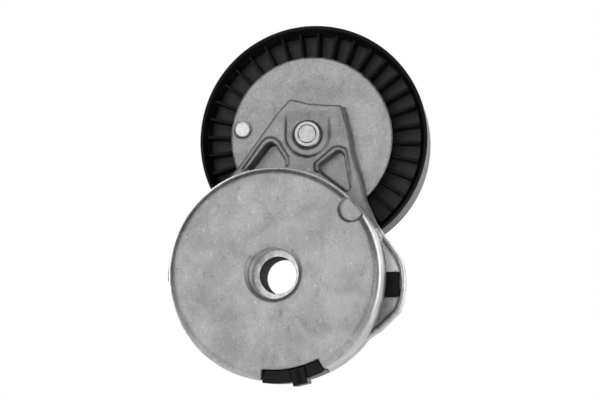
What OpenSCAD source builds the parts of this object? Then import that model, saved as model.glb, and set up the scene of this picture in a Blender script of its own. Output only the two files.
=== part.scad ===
// Automatic belt tensioner: a sprung arm on a fixed base, carrying a smooth idler pulley.
// Millimetres. The origin is the centre of the mounting bore in the base's rear face.
// +Y runs along the bore towards the front, +Z is up and +X is to the right seen from the rear.

/* [Pulley] */
// Radius of the pulley over its rear guide lip
pulley_r = 35; // [30:0.5:40]
// Width of the pulley along its axis
pulley_w = 20; // [18:0.5:24]
// Number of stiffening ribs inside the rim
rib_count = 36; // [24:1:40]

/* [Base] */
// Outer radius of the base housing
base_r = 31.3; // [30.5:0.1:33]
// Depth of the base housing from its rear face to its open rim
base_depth = 16.6; // [15:0.1:18]
// Radius of the bore that takes the mounting bolt
bolt_bore_r = 5.5; // [4.5:0.1:6]
// Radius of the locating counterbore in the rear face
locating_r = 7.4; // [6.8:0.1:8]

/* [Arm] */
// How far the pulley axis lies to the right of the mounting bore
pulley_x = 7.7; // [5:0.1:10]
// How far the pulley axis lies above the mounting bore
pulley_z = 42.7; // [41:0.1:46]
// Thickness of the arm from its rear face to its front face
arm_t = 8; // [7.5:0.1:9]
// Travel of the arm from its free stop to its load stop, in degrees
travel = 34; // [20:1:40]

/* [Spring] */
// Diameter of the spring wire
wire_d = 4.4; // [3.5:0.1:4.6]
// Mean radius of the coil
coil_r = 21; // [20.5:0.1:21.5]
// Number of turns
coil_turns = 2.8; // [2.5:0.1:3]

/* [Hidden] */
$fn = 96;

edge = 0.01;                       // how far a cutter runs past the face that it cuts

// base
base_wall = 2.7;
cup_r = base_r - base_wall;        // inside of the base and of the arm's ring
base_floor = 4;
rear_round = 2.4;
boss_r = 12.5;
boss_y = 8.5;
counterbore_depth = 9.6;
locating_land = 3.6;
shaft_r = 9.2;
shaft_end = 24.3;
rivet_r = 7.7;
rivet_y = 22.8;
notch_r = 27.9;
notch_from = -97;
notch_to = -62;
pin_pocket_r = 3.65;
pin_pocket_at = [22.7, 18.4];
pin_pocket_depth = 2.4;
stop_from = 214;
stop_to = 226;
stop_height = 4;

// arm
arm_y = base_depth + 0.4;          // rear face of the arm, one running gap ahead of the base
arm_front = arm_y + arm_t;
shield_r = 24.7;
shield_y = 24.6;
shield_front = 26.2;
seat_y = shield_front + 2;         // shoulder that the inner race stands on
spigot_r = 8.5;
spigot_end = seat_y + 11.7;
hub_r = 12.4;
hub_y = 9.2;
hub_front = 22;
bush_r = 10.4;
stop_slack = 0.4;                  // degrees left at each end of the stop slot
lug_window = [[27, -6], [35, 1.2]];
lip_height = 0.35;                 // of the lips round the pockets

// spring
coil_from = 6.4;
coil_to = 20;
coil_start = 20;                   // angle of the coil's first end, in degrees

// thread of the pulley bolt
pitch = 1.25;
thread_root_r = 3.25;
thread_height = 0.7;

// bearing, size 17 x 40 x 12
race_r = 20;
bearing_w = 12;
bearing_y = seat_y;
bearing_front = bearing_y + bearing_w;
ball_r = 3.375;
ball_pitch_r = 14.25;
ball_count = 8;
cage_y = bearing_y + bearing_w / 2;
inner_race_r = 12.2;
outer_race_r = 16.4;

// pulley
rim_y = seat_y;                    // rear edge of the rim
rim_front = rim_y + pulley_w;
belt_r = pulley_r - 0.8;
rim_in_r = pulley_r - 2.2;
hub_out_r = 22.6;
web_y = rim_y + 8.4;
web_t = 3;
rib_t = 0.8;

// shapes along the Y axis
module turned(profile) rotate([-90, 0, 0]) rotate_extrude() polygon(profile);
module rod(r, y0, y1) translate([0, y0, 0]) rotate([-90, 0, 0]) cylinder(r = r, h = y1 - y0);
module taper(r0, r1, y0, y1) translate([0, y0, 0]) rotate([-90, 0, 0])
    cylinder(r1 = r0, r2 = r1, h = y1 - y0);
module slab(y0, y1) translate([0, y1, 0]) rotate([90, 0, 0]) linear_extrude(y1 - y0) children();
module tube(r_out, r_in, y0, y1) difference() {
    rod(r_out, y0, y1);
    rod(r_in, y0 - 1, y1 + 1);
}
module at_pulley() translate([pulley_x, 0, pulley_z]) children();

function polar(r, a) = [r * cos(a), r * sin(a)];
// a quarter round from the point at angle a0 to the one at a1 about a centre
function arc(centre, r, a0, a1, steps = 6) =
    [for (i = [0 : steps]) centre + polar(r, a0 + (a1 - a0) * i / steps)];

// part of a ring between two radii and two angles, in the plane across the axis
module sector(r_in, r_out, a0, a1) {
    steps = ceil((a1 - a0) / 4);
    step = (a1 - a0) / steps;
    polygon(concat([for (i = [0 : steps]) polar(r_out, a0 + step * i)],
                   [for (i = [steps : -1 : 0]) polar(r_in, a0 + step * i)]));
}

// ---- fixed base ----

module base_housing() color([0.72, 0.72, 0.72]) difference() {
    union() {
        turned(concat([[locating_r, 0]],
                      arc([base_r - rear_round, rear_round], rear_round, -90, 0),
                      [[base_r, base_depth], [cup_r, base_depth], [cup_r, base_floor],
                       [boss_r, base_floor], [boss_r, boss_y], [shaft_r, boss_y],
                       [shaft_r, locating_land], [locating_r, locating_land]]));
        // stop that stands in the arm's slot
        slab(base_depth - 1, base_depth + stop_height) intersection() {
            sector(cup_r - 1, base_r + 3, stop_from, stop_to);
            difference() {
                circle(r = base_r);
                circle(r = cup_r + 0.3);
            }
        }
        // seat under the coil's first end
        slab(base_floor - 1, coil_from + 1.6)
            sector(coil_r - 2.4, coil_r + 2.6, coil_start - 16, coil_start - 2);
    }
    taper(locating_r + 1.1, locating_r, -edge, 0.6);
    // notch for the key of the spring bush
    slab(-1, base_depth - 2.2) sector(notch_r, base_r + 4, notch_from, notch_to);
    // half round pocket for the anti-rotation pin
    translate([pin_pocket_at.x, 0, pin_pocket_at.y]) rod(pin_pocket_r, -1, pin_pocket_depth);
}

module pivot_shaft() color([0.62, 0.63, 0.65]) turned([
    [locating_r, locating_land], [shaft_r, locating_land], [shaft_r, rivet_y],
    [rivet_r, rivet_y], [rivet_r, shaft_end], [bolt_bore_r, shaft_end],
    [bolt_bore_r, counterbore_depth], [locating_r, counterbore_depth]]);

module spring_bush() color([0.1, 0.1, 0.1]) {
    key_r = base_r + 0.6;
    union() {
        tube(cup_r - 0.2, cup_r - 2.2, base_floor + 0.1, base_depth - 0.3);
        // key that fills the notch
        slab(2.6, base_depth - 2.4) intersection() {
            sector(notch_r, key_r + 3, notch_from + 0.5, notch_to - 0.5);
            difference() {
                circle(r = key_r);
                circle(r = notch_r + 0.1);
            }
        }
        // tongue that stands out of the key, with a thin rib down its middle
        rotate([0, 76.4, 0]) {
            translate([notch_r + 0.3, 1.8, -2.2]) cube([5, 8.6, 4.4]);
            translate([cup_r + 0.4, 1.4, -0.25]) cube([4, 1, 0.5]);
        }
    }
}

// round wire swept along a helix that climbs from the base to the arm
module torsion_spring() color([0.5, 0.5, 0.52]) {
    sides = 10;
    rings = ceil(coil_turns * 20);
    points = [for (i = [0 : rings]) for (j = [0 : sides - 1])
        let (t = i / rings, a = coil_start + 360 * coil_turns * t, b = 360 * j / sides,
             r = coil_r + wire_d / 2 * cos(b), y = coil_from + (coil_to - coil_from) * t)
        [r * cos(a), y + wire_d / 2 * sin(b), r * sin(a)]];
    walls = [for (i = [0 : rings - 1]) for (j = [0 : sides - 1])
        let (k = (j + 1) % sides)
        [i * sides + j, i * sides + k, (i + 1) * sides + k, (i + 1) * sides + j]];
    polyhedron(points, concat([[for (j = [sides - 1 : -1 : 0]) j]], walls,
                              [[for (j = [0 : sides - 1]) rings * sides + j]]));
}

module retaining_plate() color([0.55, 0.56, 0.58]) turned([
    [rivet_r, rivet_y], [14.6, rivet_y], [14.6, shaft_end - 0.5], [14.1, shaft_end],
    [rivet_r, shaft_end]]);

// plastic washers on both ends of the arm's hub
module thrust_washer(r, y0, y1) color([0.16, 0.16, 0.17]) tube(r, shaft_r + 0.3, y0, y1);
module rear_thrust_washer() thrust_washer(12.2, boss_y, hub_y - 0.05);
module front_thrust_washer() thrust_washer(14, hub_front + 0.05, rivet_y);

// ---- swinging arm ----

// outline of the beam that reaches up to the pulley, over the ring
module beam_outline() polygon([
    [2.3, 53.5], [8.5, 51.9], [17.8, 51.3], [19.9, 43.8], [20.8, 37.8], [22.6, 31.3],
    [25, 22.9], [27.7, 16.3], [30.7, 11.9], [20, 8], [-14, 20], [-21.5, 25.8], [-18.6, 28],
    [-16.3, 29.8], [-14.2, 32.2], [-12.6, 34.2], [-1.3, 49.6]]);

// lug on the right side of the ring
module lug_outline() polygon([
    [27.7, 16.3], [30.7, 11.9], [34.8, 6.2], [36.3, 2.6], [36.7, -2.4], [35.8, -7.8],
    [34.7, -10.6], [29.2, -15.9], [25, -18.7], [16, -10], [16, 8]]);

module arm_outline() {
    circle(r = base_r);
    sector(10, base_r + 2.3, 116, 170);
    sector(10, base_r + 3.4, 165, 181.6);
    beam_outline();
    lug_outline();
}

module left_pocket() polygon([
    [-10.9, 32.2], [-5.1, 39.8], [-4, 40.6], [-2.8, 40.5], [-1.8, 39.6], [1, 35.2],
    [0.9, 32.6], [-4, 32.9]]);

module right_pocket() polygon([
    [11, 31.7], [18.3, 25.8], [19.6, 25.4], [20.5, 26.3], [18.6, 36.8], [17.6, 37.8],
    [16.2, 37.7], [11.1, 33.7]]);

// low lips round the pockets, where they are clear of the base
module pocket_lips() difference() {
    union() {
        polygon([[-12.2, 32.2], [-6.1, 40.7], [-4.6, 41.9], [-2.4, 41.8], [-0.8, 40.4], [2, 35.8],
                 [2, 33.4]]);
        polygon([[9.9, 31.7], [9.9, 34], [15.4, 38.6], [17.2, 39], [19.2, 38], [20, 34], [20.6, 28]]);
    }
    circle(r = base_r + 0.7);
}

// rear face of the lug inside its raised lip
module lug_panel() polygon([
    [29.6, 11.6], [30.3, 10.9], [33.9, 5.8], [35.3, 2.3], [35.7, -2.4], [34.8, -7.5],
    [33.8, -10], [28.7, -14.9], [26.4, -16.3]]);

module arm_casting() color([0.62, 0.62, 0.62]) difference() {
    union() {
        slab(arm_y, arm_front) difference() {
            arm_outline();
            circle(r = cup_r);
        }
        slab(arm_y - lip_height, arm_y + 1) pocket_lips();
        // hub, floor and the step round the retaining plate
        turned([[bush_r, hub_y], [hub_r, hub_y], [hub_r, 19.2], [18.2, 19.2], [18.2, 22.4],
                [cup_r + 0.5, 22.4], [cup_r + 0.5, arm_front], [15.2, arm_front],
                [15.2, hub_front], [bush_r, hub_front]]);
        // abutment for the coil's last end
        slab(18, 22.6) sector(coil_r - 2.4, coil_r + 2.6, coil_start + 360 * coil_turns + 2,
                              coil_start + 360 * coil_turns + 16);
        // shield behind the pulley, shoulder and spigot for the bearing
        at_pulley() {
            rod(shield_r, shield_y, shield_front);
            rod(11.5, shield_front - 1, seat_y);
            rod(spigot_r, seat_y - 1, spigot_end);
            // pad round the bolt's end, fading out upwards
            intersection() {
                union() {
                    rod(6.6, arm_y - 1, arm_y + 1);
                    translate([-6.6, arm_y - 1, 0]) cube([13.2, 2, 9]);
                }
                rotate([90, 0, 90]) translate([0, 0, -10]) linear_extrude(20)
                    polygon([[arm_y + 1, -8], [arm_y - 0.8, -8], [arm_y - 0.8, -1],
                             [arm_y + 0.05, 7.6], [arm_y + 1, 7.6]]);
            }
        }
    }
    at_pulley() {
        rod(4.05, arm_y - 2, spigot_end + 1);
        taper(4.7, 4.05, arm_y - 0.8 - edge, arm_y - 0.1);
        // round mark of an ejector pin on the shield
        translate([-21.1, 0, 2.8]) rod(2.5, shield_y - 1, shield_y + 0.35);
    }
    slab(arm_y - 1, arm_y + 6.8) left_pocket();
    slab(arm_y - 1, arm_y + 5.4) right_pocket();
    slab(arm_y - 1, arm_y + 0.6) difference() {
        lug_panel();
        circle(r = base_r - 0.6);
    }
    // window for the damper's key
    translate([lug_window[0].x, arm_y - 1, lug_window[0].y])
        cube([lug_window[1].x - lug_window[0].x, 5, lug_window[1].y - lug_window[0].y]);
    // slot for the base's stop, open to the outside
    slab(arm_y - 1, arm_y + stop_height + 0.4) sector(cup_r - 0.3, base_r + 4,
        stop_from - stop_slack, stop_to + travel + stop_slack);
}

module pivot_bush() color([0.2, 0.2, 0.21]) tube(bush_r, shaft_r + 0.05, hub_y, hub_front);

module damper_ring() color([0.09, 0.09, 0.09]) union() {
    tube(cup_r - 0.2, cup_r - 2, arm_y + 0.3, 22.2);
    translate([cup_r - 1, arm_y + 1, lug_window[0].y + 0.15])
        cube([lug_window[1].x - cup_r + 0.8, 2.8, lug_window[1].y - lug_window[0].y - 0.3]);
}

module pulley_bolt() color([0.75, 0.76, 0.78]) at_pulley() difference() {
    tip = arm_y - 1.6;
    union() {
        // threads stand as rings, one pitch apart
        turned(concat([[0, tip], [2.7, tip], [2.85, tip + 0.35], [3.7, tip + 0.35],
                       [3.95, tip + 0.6]],
                      [for (i = [0 : 6], c = [[0.2, 1], [0.5, 0], [0.8, 0], [1.1, 1]])
                          [thread_root_r + thread_height * c.y, tip + 0.6 + pitch * i + c.x]],
                      [[4, tip + 9.5], [4, bearing_front + 2], [0, bearing_front + 2]]));
        taper(9, 8.4, bearing_front + 1.5, bearing_front + 3);
        rod(6.5 / cos(30), bearing_front + 2.5, bearing_front + 7.6, $fn = 6);
    }
    // shallow hollow in the head
    taper(3.6, 4.4, bearing_front + 7, bearing_front + 7.6 + edge);
}

module bolt_washer() color([0.66, 0.67, 0.69]) at_pulley() turned([
    [4.1, bearing_front], [11.8, bearing_front], [11.8, bearing_front + 1.1],
    [11.3, bearing_front + 1.5], [4.1, bearing_front + 1.5]]);

// ---- bearing ----

module bearing_inner_race() color([0.7, 0.71, 0.73]) at_pulley() difference() {
    tube(inner_race_r, spigot_r, bearing_y, bearing_front);
    translate([0, cage_y, 0]) rotate([-90, 0, 0])
        rotate_extrude() translate([ball_pitch_r, 0]) circle(r = ball_r + 0.05);
}

module bearing_outer_race() color([0.7, 0.71, 0.73]) at_pulley() difference() {
    tube(race_r, outer_race_r, bearing_y, bearing_front);
    translate([0, cage_y, 0]) rotate([-90, 0, 0])
        rotate_extrude() translate([ball_pitch_r, 0]) circle(r = ball_r + 0.05);
}

module bearing_seal(y0) color([0.14, 0.13, 0.13]) at_pulley()
    tube(outer_race_r, inner_race_r + 0.08, y0, y0 + 1);
module bearing_seal_rear() bearing_seal(bearing_y + 0.4);
module bearing_seal_front() bearing_seal(bearing_front - 1.4);

module each_ball() for (i = [0 : ball_count - 1])
    rotate([0, 360 * i / ball_count, 0]) translate([ball_pitch_r, cage_y, 0]) children();
module bearing_cage() color([0.6, 0.58, 0.5]) at_pulley() difference() {
    tube(ball_pitch_r + 1.1, ball_pitch_r - 1.1, cage_y - 4.2, cage_y + 4.2);
    each_ball() rotate([0, 90, 0]) cylinder(r = ball_r + 0.1, h = 4, center = true, $fn = 48);
}
module bearing_balls() color([0.82, 0.83, 0.85]) at_pulley()
    each_ball() sphere(r = ball_r, $fn = 48);

// ---- pulley ----

module idler_pulley() color([0.11, 0.11, 0.11]) at_pulley() union() {
    turned(concat(
        [[rim_in_r, rim_y + 1.6], [pulley_r - 1, rim_y], [pulley_r - 0.4, rim_y], [pulley_r, rim_y + 0.4],
         [pulley_r, rim_y + 1.4], [belt_r, rim_y + 2.1], [belt_r, rim_front - 0.8],
         [belt_r - 0.8, rim_front], [rim_in_r, rim_front], [rim_in_r, web_y + web_t],
         [hub_out_r, web_y + web_t], [hub_out_r, bearing_front + 2.6],
         [race_r - 0.6, bearing_front + 2.6], [race_r - 0.6, bearing_front + 0.05],
         [race_r, bearing_front + 0.05], [race_r, rim_y - 0.8], [hub_out_r, rim_y - 0.8],
         [hub_out_r, web_y], [rim_in_r, web_y]]));
    // ribs on both sides of the web
    intersection() {
        tube(rim_in_r + 0.6, hub_out_r - 0.6, rim_y + 1.8, rim_front - 2);
        union() {
            for (i = [0 : rib_count - 1]) rotate([0, 360 * i / rib_count + 2.5, 0])
                translate([hub_out_r - 1, rim_y + 1, -rib_t / 2])
                    cube([rim_in_r - hub_out_r + 2, pulley_w, rib_t]);
        }
    }
}

module dust_cap() color([0.13, 0.13, 0.13]) at_pulley() turned(concat(
    [[18.2, bearing_front + 0.6], [race_r - 0.65, bearing_front + 0.6],
     [race_r - 0.65, bearing_front + 8]],
    arc([race_r - 1.85, bearing_front + 8], 1.2, 0, 90),
    [[0, bearing_front + 9.2], [0, bearing_front + 8], [18.2, bearing_front + 8]]));

base_housing();
pivot_shaft();
spring_bush();
torsion_spring();
retaining_plate();
rear_thrust_washer();
front_thrust_washer();
arm_casting();
pivot_bush();
damper_ring();
pulley_bolt();
bolt_washer();
bearing_inner_race();
bearing_outer_race();
bearing_seal_rear();
bearing_seal_front();
bearing_cage();
bearing_balls();
idler_pulley();
dust_cap();
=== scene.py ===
import math

import bpy
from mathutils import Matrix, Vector


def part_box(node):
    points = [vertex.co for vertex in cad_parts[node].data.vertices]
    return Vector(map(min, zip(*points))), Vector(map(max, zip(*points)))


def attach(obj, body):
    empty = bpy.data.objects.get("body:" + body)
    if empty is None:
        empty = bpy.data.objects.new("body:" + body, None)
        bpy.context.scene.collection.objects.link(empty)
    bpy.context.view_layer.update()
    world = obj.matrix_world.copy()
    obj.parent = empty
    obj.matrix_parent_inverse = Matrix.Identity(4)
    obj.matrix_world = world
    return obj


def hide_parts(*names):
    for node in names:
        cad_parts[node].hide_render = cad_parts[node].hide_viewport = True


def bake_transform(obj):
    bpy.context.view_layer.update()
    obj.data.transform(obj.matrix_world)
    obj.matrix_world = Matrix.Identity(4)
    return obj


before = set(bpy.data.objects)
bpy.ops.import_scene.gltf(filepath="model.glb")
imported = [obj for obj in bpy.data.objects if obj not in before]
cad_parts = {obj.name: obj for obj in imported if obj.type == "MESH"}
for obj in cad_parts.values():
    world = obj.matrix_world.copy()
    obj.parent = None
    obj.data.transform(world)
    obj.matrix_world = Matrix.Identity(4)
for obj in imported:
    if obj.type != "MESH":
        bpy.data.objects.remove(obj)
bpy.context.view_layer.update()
print("frame loaded")

mm = 0.001
pulleyAxis = (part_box("idler_pulley")[0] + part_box("idler_pulley")[1]) / 2
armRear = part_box("arm_casting")[0].y


def deselectAll():
    bpy.ops.object.select_all(action="DESELECT")


def makeActive(piece):
    deselectAll()
    piece.select_set(True)
    bpy.context.view_layer.objects.active = piece


# colour sockets of a Mix node, which share their names with its other sockets
mixFirst, mixSecond, mixResult = 6, 7, 2


def newFinish(name, settings):
    finish = bpy.data.materials.new(name)
    finish.use_nodes = True
    shader = finish.node_tree.nodes["Principled BSDF"]
    for socket, value in settings.items():
        shader.inputs[socket].default_value = value
    return finish


def addNode(owner, kind, **settings):
    node = owner.node_tree.nodes.new(kind)
    for key, value in settings.items():
        if key in node.inputs:
            node.inputs[key].default_value = value
        else:
            setattr(node, key, value)
    return node


def grey(tone):
    return (tone, tone, tone, 1)


def toneRamp(owner, source, stops):
    ramp = addNode(owner, "ShaderNodeValToRGB")
    marks = ramp.color_ramp.elements
    while len(marks) < len(stops):
        marks.new(0.5)
    for mark, (position, tone) in zip(marks, stops):
        mark.position = position
        mark.color = grey(tone)
    owner.node_tree.links.new(source, ramp.inputs["Fac"])
    return ramp.outputs["Color"]


def linkShader(finish, source, socket):
    shader = finish.node_tree.nodes["Principled BSDF"]
    finish.node_tree.links.new(source, shader.inputs[socket])


def objectSpace(finish):
    return addNode(finish, "ShaderNodeTexCoord").outputs["Object"]


def noise(finish, place, **settings):
    pattern = addNode(finish, "ShaderNodeTexNoise", **settings)
    finish.node_tree.links.new(place, pattern.inputs["Vector"])
    return pattern.outputs["Fac"]


def setGloss(finish, source, roughness):
    gloss = addNode(finish, "ShaderNodeMapRange")
    gloss.inputs["To Min"].default_value = roughness[0]
    gloss.inputs["To Max"].default_value = roughness[1]
    finish.node_tree.links.new(source, gloss.inputs["Value"])
    linkShader(finish, gloss.outputs["Result"], "Roughness")


def setBump(finish, height, strength, depth):
    bump = addNode(finish, "ShaderNodeBump", Strength=strength, Distance=depth)
    finish.node_tree.links.new(height, bump.inputs["Height"])
    linkShader(finish, bump.outputs["Normal"], "Normal")


castLooks = {
    "castBright": dict(tones=(0.35, 0.44, 0.53), roughness=(0.3, 0.46), grain=0.00010),
    "castDull": dict(tones=(0.3, 0.38, 0.46), roughness=(0.34, 0.48), grain=0.00008),
    # the next look is far lighter: painted light for the lug's front panel, which the drum's wall
    # shades from the lamps
    "castPaintedLight": dict(tones=(0.6, 0.72, 0.84), roughness=(0.26, 0.4), grain=0.00008),
}
castNoise = {
    "clouds": dict(Scale=95, Detail=7, Roughness=0.62, Distortion=0.4),
    "specks": dict(Scale=1700, Detail=3, Roughness=0.65),
    "sand": dict(Scale=2600, Detail=2, Roughness=0.5),
    "scuffs": dict(Scale=900, Detail=2, Roughness=0.5),
    "pits": dict(Scale=420, Randomness=1),
}
# most of the skin is even, with a few dark and bright spots
castSpots = {
    "specks": [(0.3, 0.66), (0.41, 0.96), (0.59, 1.0), (0.69, 1.45)],
    "pits": [(0.04, 0.55), (0.12, 1.0)],
    "scuffs": [(0.3, 0.78), (0.38, 1.0), (0.64, 1.0), (0.72, 1.3)],
}
cloudStops = (0.38, 0.5, 0.62)
scuffStretch = dict(Rotation=(0, 0.9, 0), Scale=(1, 1, 0.45))
# share of the specks beside the sand in the relief, and the strength of the relief
castRelief = dict(specks=0.6, strength=0.5)


def castMetal(name, tones, roughness, grain):
    finish = newFinish(name, {"Metallic": 0.7})
    link = finish.node_tree.links.new
    place = objectSpace(finish)
    clouds = noise(finish, place, **castNoise["clouds"])
    specks = noise(finish, place, **castNoise["specks"])
    sand = noise(finish, place, **castNoise["sand"])
    pits = addNode(finish, "ShaderNodeTexVoronoi", **castNoise["pits"])
    link(place, pits.inputs["Vector"])
    # scuffs are spots, stretched one way
    stretch = addNode(finish, "ShaderNodeMapping", **scuffStretch)
    link(place, stretch.inputs["Vector"])
    scuffs = noise(finish, stretch.outputs["Vector"], **castNoise["scuffs"])
    tone = toneRamp(finish, clouds, list(zip(cloudStops, tones)))
    for spots, source in (("specks", specks), ("pits", pits.outputs["Distance"]), ("scuffs", scuffs)):
        blend = addNode(finish, "ShaderNodeMix", data_type="RGBA", blend_type="MULTIPLY")
        blend.inputs["Factor"].default_value = 1
        link(tone, blend.inputs[mixFirst])
        link(toneRamp(finish, source, castSpots[spots]), blend.inputs[mixSecond])
        tone = blend.outputs[mixResult]
    linkShader(finish, tone, "Base Color")
    setGloss(finish, clouds, roughness)
    height = addNode(finish, "ShaderNodeMath", operation="MULTIPLY_ADD")
    height.inputs[1].default_value = castRelief["specks"]
    link(specks, height.inputs[0])
    link(sand, height.inputs[2])
    setBump(finish, height.outputs["Value"], castRelief["strength"], grain)
    return finish


plasticLook = dict(flow=dict(Scale=220, Detail=4, Roughness=0.6), grit=dict(Scale=3200, Detail=2),
                   stops=(0.35, 0.68), bump=0.4)


def mouldedPlastic(name, tones, roughness, grain, shine=0.5):
    finish = newFinish(name, {"Specular IOR Level": shine})
    place = objectSpace(finish)
    flow = noise(finish, place, **plasticLook["flow"])
    grit = noise(finish, place, **plasticLook["grit"])
    tone = toneRamp(finish, flow, list(zip(plasticLook["stops"], tones)))
    linkShader(finish, tone, "Base Color")
    setGloss(finish, flow, roughness)
    setBump(finish, grit, plasticLook["bump"], grain)
    return finish


steelLook = dict(stain=dict(Scale=500, Detail=4), scratchDetail=3, stops=(0.35, 0.62), depth=0.00005)


def turnedMetal(name, tone, roughness, scratches, strength, mottle=0.8):
    finish = newFinish(name, {"Metallic": 1.0})
    place = objectSpace(finish)
    stain = noise(finish, place, **steelLook["stain"])
    scratch = noise(finish, place, Scale=scratches, Detail=steelLook["scratchDetail"])
    stained = toneRamp(finish, stain, list(zip(steelLook["stops"], (tone * mottle, tone))))
    linkShader(finish, stained, "Base Color")
    setGloss(finish, stain, roughness)
    setBump(finish, scratch, strength, steelLook["depth"])
    return finish


plastics = {
    "blackNylon": dict(tones=(0.004, 0.008), roughness=(0.35, 0.5), grain=0.00004, shine=0.2),
    # the next finish is painted shade: a near-black, dull skin on the steel pivot tube's bore wall
    "paintedBoreShade": dict(tones=(0.02, 0.05), roughness=(0.65, 0.75), grain=0.00006, shine=0.04),
    "pulleyPlastic": dict(tones=(0.01, 0.018), roughness=(0.38, 0.5), grain=0.00004, shine=0.35),
    # the next finish is painted light: lighter tones for the web floors between the pulley's ribs,
    # which the ribs and rim shade
    "pulleyWebPaintedLight": dict(tones=(0.02, 0.075), roughness=(0.35, 0.6), grain=0.00006),
    "cageNylon": dict(tones=(0.35, 0.42), roughness=(0.4, 0.5), grain=0.00004),
    "sealRubber": dict(tones=(0.02, 0.03), roughness=(0.5, 0.65), grain=0.00006),
}
metals = {
    "polishedCast": dict(tone=0.85, roughness=(0.25, 0.5), scratches=900, strength=1.5, mottle=0.6),
    "turnedSteel": dict(tone=0.6, roughness=(0.25, 0.4), scratches=1200, strength=0.4),
    "groundSteel": dict(tone=0.7, roughness=(0.12, 0.22), scratches=3000, strength=0.2),
    "zincPlate": dict(tone=0.62, roughness=(0.22, 0.5), scratches=1400, strength=1.3, mottle=0.6),
    "springSteel": dict(tone=0.3, roughness=(0.35, 0.5), scratches=900, strength=0.5),
}
finishes = {name: castMetal(name, **look) for name, look in castLooks.items()}
finishes.update({name: mouldedPlastic(name, **look) for name, look in plastics.items()})
finishes.update({name: turnedMetal(name, **look) for name, look in metals.items()})
print("finishes", len(finishes))


# which finish each face of a piece gets; depths along the bore and radii are in mm,
# and facings are limits for the Y of a face's normal
def inBox(point, low, high):
    return all(low[i] <= point[i] <= high[i] for i in range(3))


# the ejector pin's mark lies across and up from the pulley's axis, at a depth from the origin
armMarks = dict(shieldFrom=23.6, ejector=(-21.1, 24.9, 2.8), ejectorRadius=2.4,
                boltRing=(4.2, 5.1), boltRingDepth=1, lug=((27, 16, -4), (40, 18, 14)))
ejectorSpot = Vector((pulleyAxis.x, 0, pulleyAxis.z)) / mm + Vector(armMarks["ejector"])


def armFinish(face):
    spot = face.center / mm
    fromBolt = math.hypot(spot.x - pulleyAxis.x / mm, spot.z - pulleyAxis.z / mm)
    inner, outer = armMarks["boltRing"]
    onBoltRing = inner < fromBolt < outer and spot.y < armRear / mm + armMarks["boltRingDepth"]
    if (spot - ejectorSpot).length < armMarks["ejectorRadius"] or onBoltRing:
        return "polishedCast"
    # the lug's front panel gets the far lighter look: painted light where the drum's wall shades it
    if inBox(spot, *armMarks["lug"]):
        return "castPaintedLight"
    return "castBright" if spot.y > armMarks["shieldFrom"] else "castDull"


pulleyMarks = dict(web=(34, 37.5), webFacing=-0.9, rearEdge=33, edgeFacing=-0.3)


def pulleyFinish(face):
    depth = face.center.y / mm
    low, high = pulleyMarks["web"]
    # web floors facing the rear get the lighter painted light
    if low < depth < high and face.normal.y < pulleyMarks["webFacing"]:
        return "pulleyWebPaintedLight"
    if depth < pulleyMarks["rearEdge"] and face.normal.y < pulleyMarks["edgeFacing"]:
        return "blackNylon"
    return "pulleyPlastic"


tubeMarks = dict(step=10, stepFacing=-0.7, boreRadius=5.8, boreFacing=0.5)


def tubeFinish(face):
    spot = face.center / mm
    if spot.y < tubeMarks["step"] and face.normal.y < tubeMarks["stepFacing"]:
        return "polishedCast"
    # the bore's inner wall gets the near-black painted shade
    nearAxis = math.hypot(spot.x, spot.z) < tubeMarks["boreRadius"]
    if nearAxis and abs(face.normal.y) < tubeMarks["boreFacing"]:
        return "paintedBoreShade"
    return "turnedSteel"


# cast, moulded and turned pieces: each starts as a clean copy of its CAD node; voxel is the
# grid of its soft skin, and edge how far its corners are rounded, both in mm
outlinePieces = {
    "castHousing": dict(node="base_housing", body="base", slot="cast_base", finish="castBright",
                        voxel=0.4),
    "castArm": dict(node="arm_casting", body="arm", slot="cast_arm", finish="castDull", voxel=0.45,
                    extras=("castBright", "polishedCast", "castPaintedLight"), choose=armFinish),
    "keyedBush": dict(node="spring_bush", body="base", slot="black_polyamide", finish="blackNylon",
                      voxel=0.3),
    "dampingRing": dict(node="damper_ring", body="arm", slot="black_polyamide", finish="blackNylon",
                        edge=0.2),
    "guidePulley": dict(node="idler_pulley", body="pulley", slot="pulley_plastic",
                        finish="pulleyPlastic", edge=0.2,
                        extras=("pulleyWebPaintedLight", "blackNylon"), choose=pulleyFinish),
    "pivotTube": dict(node="pivot_shaft", body="base", slot="turned_steel", finish="turnedSteel",
                      edge=0.2, extras=("paintedBoreShade", "polishedCast"), choose=tubeFinish),
    "rivetPlate": dict(node="retaining_plate", body="base", slot="turned_steel",
                       finish="turnedSteel", edge=0.15),
    "flangeBolt": dict(node="pulley_bolt", body="arm", slot="zinc_plate", finish="zincPlate",
                       edge=0.25, sharpUpTo=27),
    "bossWasher": dict(node="bolt_washer", body="arm", slot="zinc_plate", finish="zincPlate",
                       edge=0.2),
    "snapCap": dict(node="dust_cap", body="pulley", slot="black_polyamide", finish="blackNylon",
                    edge=0.3),
}
# weld is in mm; flat, sharpness and smoothUpTo are angles in degrees
cleaning = dict(weld=0.002, flat=0.5)
rounding = dict(sharpness=35, segments=2, profile=0.5)
softening = dict(factor=0.5, passes=3)
smoothUpTo = 40


def copyOfNode(node, name):
    makeActive(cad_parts[node])
    bpy.ops.object.duplicate()
    piece = bpy.context.active_object
    piece.name = piece.data.name = name
    piece.parent = None
    for key in list(piece.keys()):
        del piece[key]
    bpy.ops.mesh.customdata_custom_splitnormals_clear()
    bpy.ops.object.mode_set(mode="EDIT")
    bpy.ops.mesh.select_all(action="SELECT")
    bpy.ops.mesh.remove_doubles(threshold=cleaning["weld"] * mm)
    bpy.ops.mesh.dissolve_limited(angle_limit=math.radians(cleaning["flat"]))
    bpy.ops.object.mode_set(mode="OBJECT")
    return piece


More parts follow.
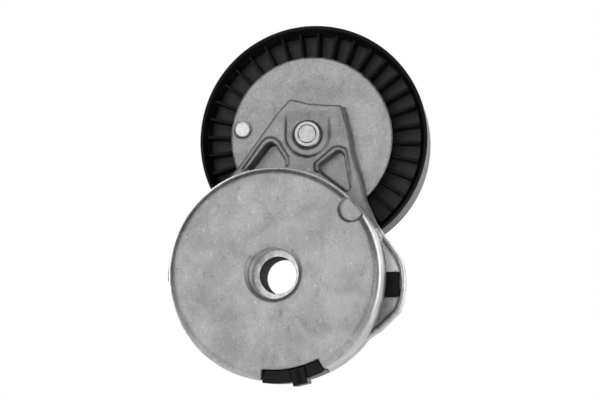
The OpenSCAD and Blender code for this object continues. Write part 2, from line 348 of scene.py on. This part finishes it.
# edges up to sharpUpTo mm along the bore, such as those of the bolt's thread, stay sharp
def roundEdges(piece, width, sharpUpTo=None, sharpness=rounding["sharpness"]):
    makeActive(piece)
    bpy.ops.object.mode_set(mode="EDIT")
    bpy.ops.mesh.select_mode(type="EDGE")
    bpy.ops.mesh.select_all(action="DESELECT")
    bpy.ops.mesh.edges_select_sharp(sharpness=math.radians(sharpness))
    bpy.ops.object.mode_set(mode="OBJECT")
    corners = piece.data.vertices
    for edge in piece.data.edges:
        if edge.select and sharpUpTo is not None:
            middle = (corners[edge.vertices[0]].co + corners[edge.vertices[1]].co) / 2
            edge.select = middle.y > sharpUpTo * mm
    bpy.ops.object.mode_set(mode="EDIT")
    bpy.ops.mesh.bevel(offset=width * mm, segments=rounding["segments"],
                       profile=rounding["profile"], clamp_overlap=False)
    bpy.ops.object.mode_set(mode="OBJECT")


def softCast(piece, voxel):
    makeActive(piece)
    piece.data.remesh_voxel_size = voxel * mm
    piece.data.use_remesh_preserve_volume = True
    bpy.ops.object.voxel_remesh()
    smooth = piece.modifiers.new("soften", "SMOOTH")
    smooth.factor = softening["factor"]
    smooth.iterations = softening["passes"]
    bpy.ops.object.modifier_apply(modifier="soften")


for name, spec in outlinePieces.items():
    piece = copyOfNode(spec["node"], name)
    if "voxel" in spec:
        softCast(piece, spec["voxel"])
        bpy.ops.object.shade_smooth()
    else:
        roundEdges(piece, spec["edge"], spec.get("sharpUpTo"))
        bpy.ops.object.shade_smooth_by_angle(angle=math.radians(smoothUpTo))
        piece.modifiers.new("flats", "WEIGHTED_NORMAL").keep_sharp = True
        bpy.ops.object.modifier_apply(modifier="flats")
    used = [spec["finish"], *spec.get("extras", ())]
    piece.data.materials.clear()
    for finish in used:
        piece.data.materials.append(finishes[finish])
    if "choose" in spec:
        for face in piece.data.polygons:
            face.material_index = used.index(spec["choose"](face))
    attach(piece, spec["body"])
    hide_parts(spec["node"])
    print("piece", name, len(piece.data.polygons))


# torsion spring: wire and radius are the radii of its wire and of its coil; lengths are in mm,
# start and sharpness in degrees
coil = dict(wire=2.2, radius=21, rear=6.4, rise=13.6, start=20, turns=2.8,
            steps=202, sides=24, edge=0.3, sharpness=60)
deselectAll()
bpy.ops.mesh.primitive_circle_add(radius=coil["wire"] * mm, vertices=coil["sides"],
                                  location=(coil["radius"] * mm, coil["rear"] * mm, 0))
wire = bpy.context.active_object
wire.name = wire.data.name = "coilWire"
bpy.ops.object.transform_apply(location=True, rotation=True, scale=True)
bpy.ops.object.mode_set(mode="EDIT")
bpy.ops.mesh.select_all(action="SELECT")
bpy.ops.transform.rotate(value=math.radians(coil["start"]), orient_axis="Y",
                         center_override=(0, 0, 0))
bpy.ops.object.mode_set(mode="OBJECT")
helix = wire.modifiers.new("helix", "SCREW")
helix.axis = "Y"
helix.angle = math.radians(-360 * coil["turns"])
helix.screw_offset = coil["rise"] * mm
helix.steps = helix.render_steps = coil["steps"]
bpy.ops.object.modifier_apply(modifier="helix")
bpy.ops.object.mode_set(mode="EDIT")
bpy.ops.mesh.select_all(action="SELECT")
bpy.ops.mesh.fill_holes(sides=0)
bpy.ops.mesh.select_all(action="SELECT")
bpy.ops.mesh.normals_make_consistent(inside=False)
bpy.ops.object.mode_set(mode="OBJECT")
roundEdges(wire, coil["edge"], sharpness=coil["sharpness"])
bpy.ops.object.shade_smooth_by_angle(angle=math.radians(smoothUpTo))
wire.data.materials.append(finishes["springSteel"])
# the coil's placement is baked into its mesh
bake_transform(wire)
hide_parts("torsion_spring")
print("spring", len(wire.data.polygons))


# CAD nodes that keep their shape and get a better finish
keptNodes = {
    "blackNylon": ("rear_thrust_washer", "front_thrust_washer", "pivot_bush"),
    "groundSteel": ("bearing_inner_race", "bearing_outer_race", "bearing_balls"),
    "sealRubber": ("bearing_seal_rear", "bearing_seal_front"),
    "cageNylon": ("bearing_cage",),
}
for finish, nodes in keptNodes.items():
    for node in nodes:
        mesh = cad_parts[node].data
        mesh.materials.clear()
        mesh.materials.append(finishes[finish])
print("kept nodes finished")


# studio
camera = dict(place=(0.1019, -0.6295, -0.0424), looksAlong=(-0.1469, 0.9841, 0.0995),
              lens=132, sensor=36, nearest=0.01)
bpy.ops.object.camera_add(location=camera["place"])
view = bpy.context.active_object
view.rotation_euler = Vector(camera["looksAlong"]).to_track_quat("-Z", "Y").to_euler()
view.data.lens = camera["lens"]
view.data.sensor_width = camera["sensor"]
view.data.clip_start = camera["nearest"]
bpy.context.scene.camera = view

floorDisc = dict(radius=0.5, height=-0.12, sides=96, tone=0.85, roughness=0.9)
deselectAll()
bpy.ops.mesh.primitive_circle_add(radius=floorDisc["radius"], vertices=floorDisc["sides"],
                                  fill_type="NGON", location=(0, 0, floorDisc["height"]))
floor = bpy.context.active_object
floor.name = "floor"
floor.data.materials.append(newFinish("floorPaper", {"Base Color": grey(floorDisc["tone"]),
                                                     "Roughness": floorDisc["roughness"]}))

lamps = {
    "keyLamp": dict(place=(-0.12, -1.0, 0.15), size=0.5, watts=1.55),
    "fillLamp": dict(place=(0.7, -0.6, -0.05), size=0.4, watts=0.7),
}
lampTarget = pulleyAxis * 0.5  # halfway from the pivot to the pulley
for name, lamp in lamps.items():
    bpy.ops.object.light_add(type="AREA", location=lamp["place"])
    light = bpy.context.active_object
    light.name = name
    light.data.size = lamp["size"]
    light.data.energy = lamp["watts"]
    light.rotation_euler = (lampTarget - light.location).to_track_quat("-Z", "Y").to_euler()

# the camera sees plain white; the light is dim in front and at the sides, bright at a slant behind
# stops run from the camera's side of the part (0) to straight behind it (1)
roomLight = dict(strength=3.6, stops=[(0.0, 0.04), (0.2, 0.015), (0.5, 0.01), (0.61, 0.02),
                                      (0.7, 1.0), (0.92, 1.0), (0.97, 0.22)])
world = bpy.data.worlds.new("studio")
world.use_nodes = True
bpy.context.scene.world = world
worldLink = world.node_tree.links.new
backdrop = world.node_tree.nodes["Background"]
backdrop.inputs["Color"].default_value = grey(1)
room = addNode(world, "ShaderNodeBackground", Strength=roomLight["strength"])
direction = addNode(world, "ShaderNodeTexCoord").outputs["Generated"]
split = addNode(world, "ShaderNodeSeparateXYZ")
shift = addNode(world, "ShaderNodeMapRange")
shift.inputs["From Min"].default_value = -1
worldLink(direction, split.inputs["Vector"])
worldLink(split.outputs["Y"], shift.inputs["Value"])
worldLink(toneRamp(world, shift.outputs["Result"], roomLight["stops"]), room.inputs["Color"])
rays = addNode(world, "ShaderNodeLightPath")
either = addNode(world, "ShaderNodeMixShader")
worldLink(rays.outputs["Is Camera Ray"], either.inputs["Fac"])
worldLink(room.outputs["Background"], either.inputs[1])  # lights the part
worldLink(backdrop.outputs["Background"], either.inputs[2])  # seen by the camera
worldLink(either.outputs["Shader"], world.node_tree.nodes["World Output"].inputs["Surface"])
bpy.context.scene.view_settings.view_transform = "Standard"
print("studio ready")
